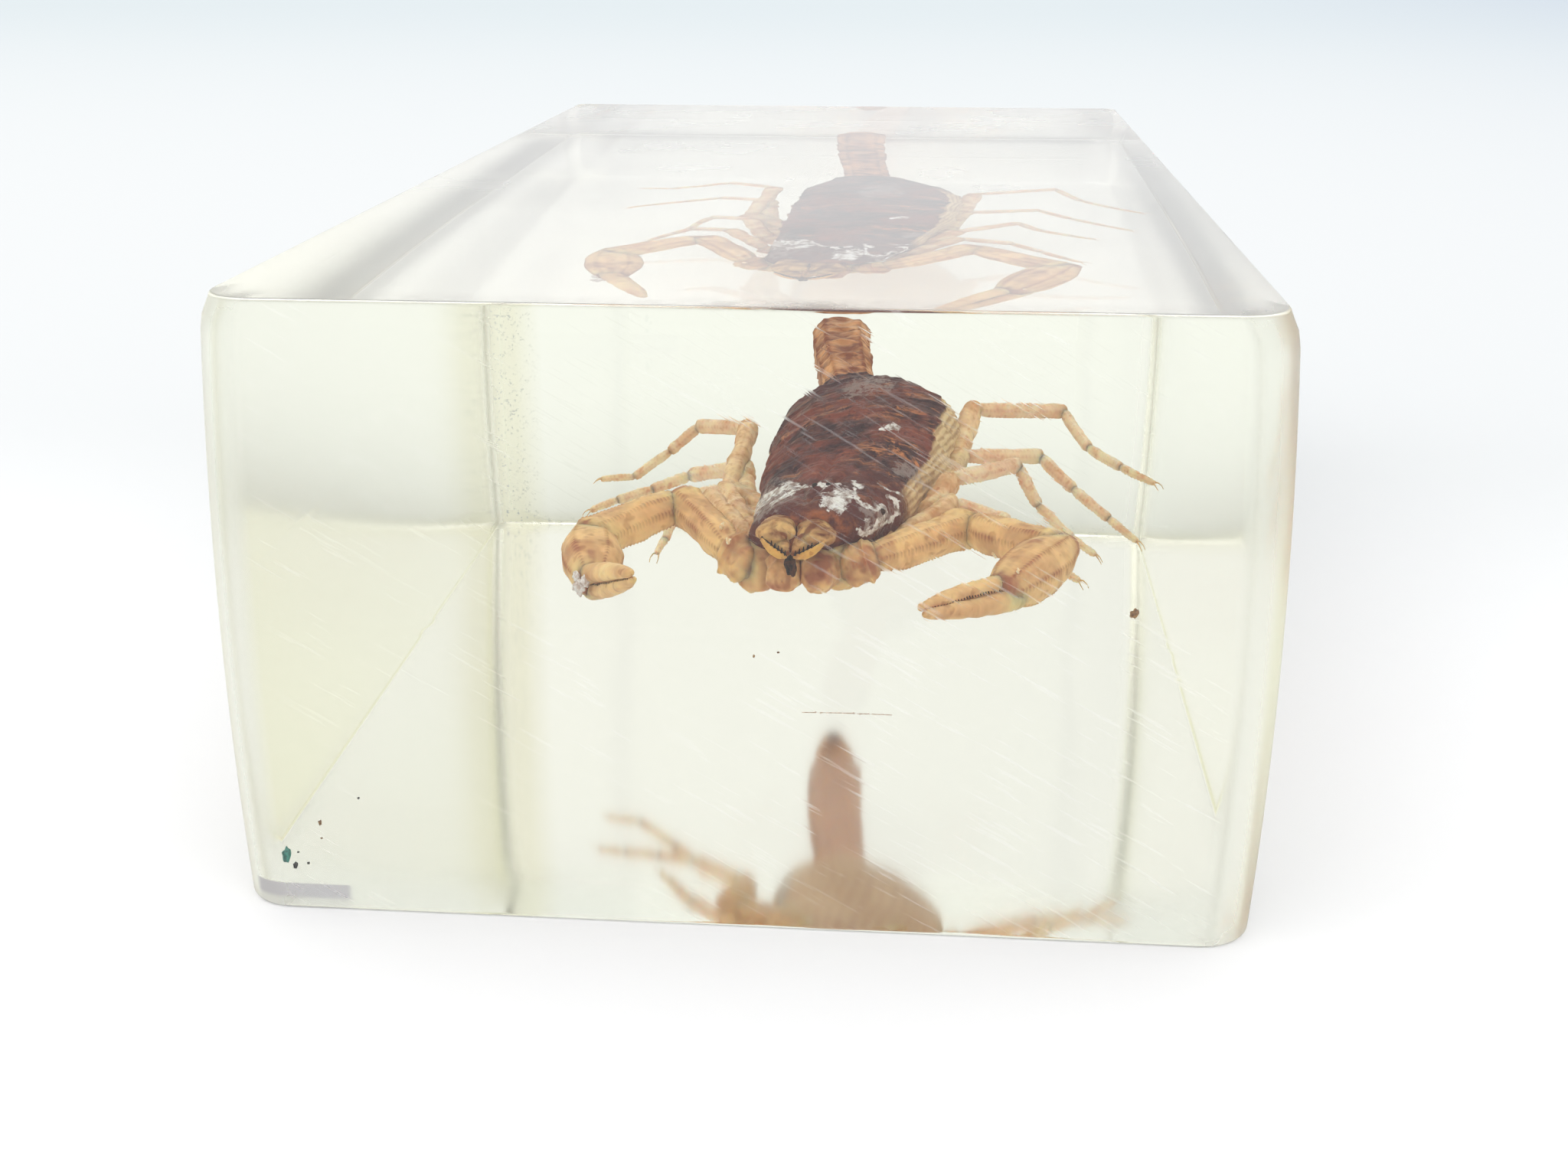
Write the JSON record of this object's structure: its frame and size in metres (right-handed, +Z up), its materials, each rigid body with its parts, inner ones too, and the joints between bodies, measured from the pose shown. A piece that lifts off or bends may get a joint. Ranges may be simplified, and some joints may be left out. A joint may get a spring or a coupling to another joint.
{
  "type": "scorpion in resin block",
  "caption": "Clear resin block with round corners, cast in two pours around a dried scorpion with slim claws and a straight tail.",
  "frame": {"origin": "middle of the block's resting face", "axes": "+Z up, Y along the block with the scorpion's head towards -Y, +X to the right seen from the head end"},
  "size_m": [0.042, 0.076, 0.025],
  "materials": {
    "clear_resin": "clear, faintly yellow-green, polished with fine scratches",
    "scorpion_cuticle": "satin amber-brown, nearly black on the back"
  },
  "bodies": {
    "root": {"resin_lower": "clear_resin", "resin_upper": "clear_resin", "scorpion": "scorpion_cuticle"}
  },
  "joints": []
}
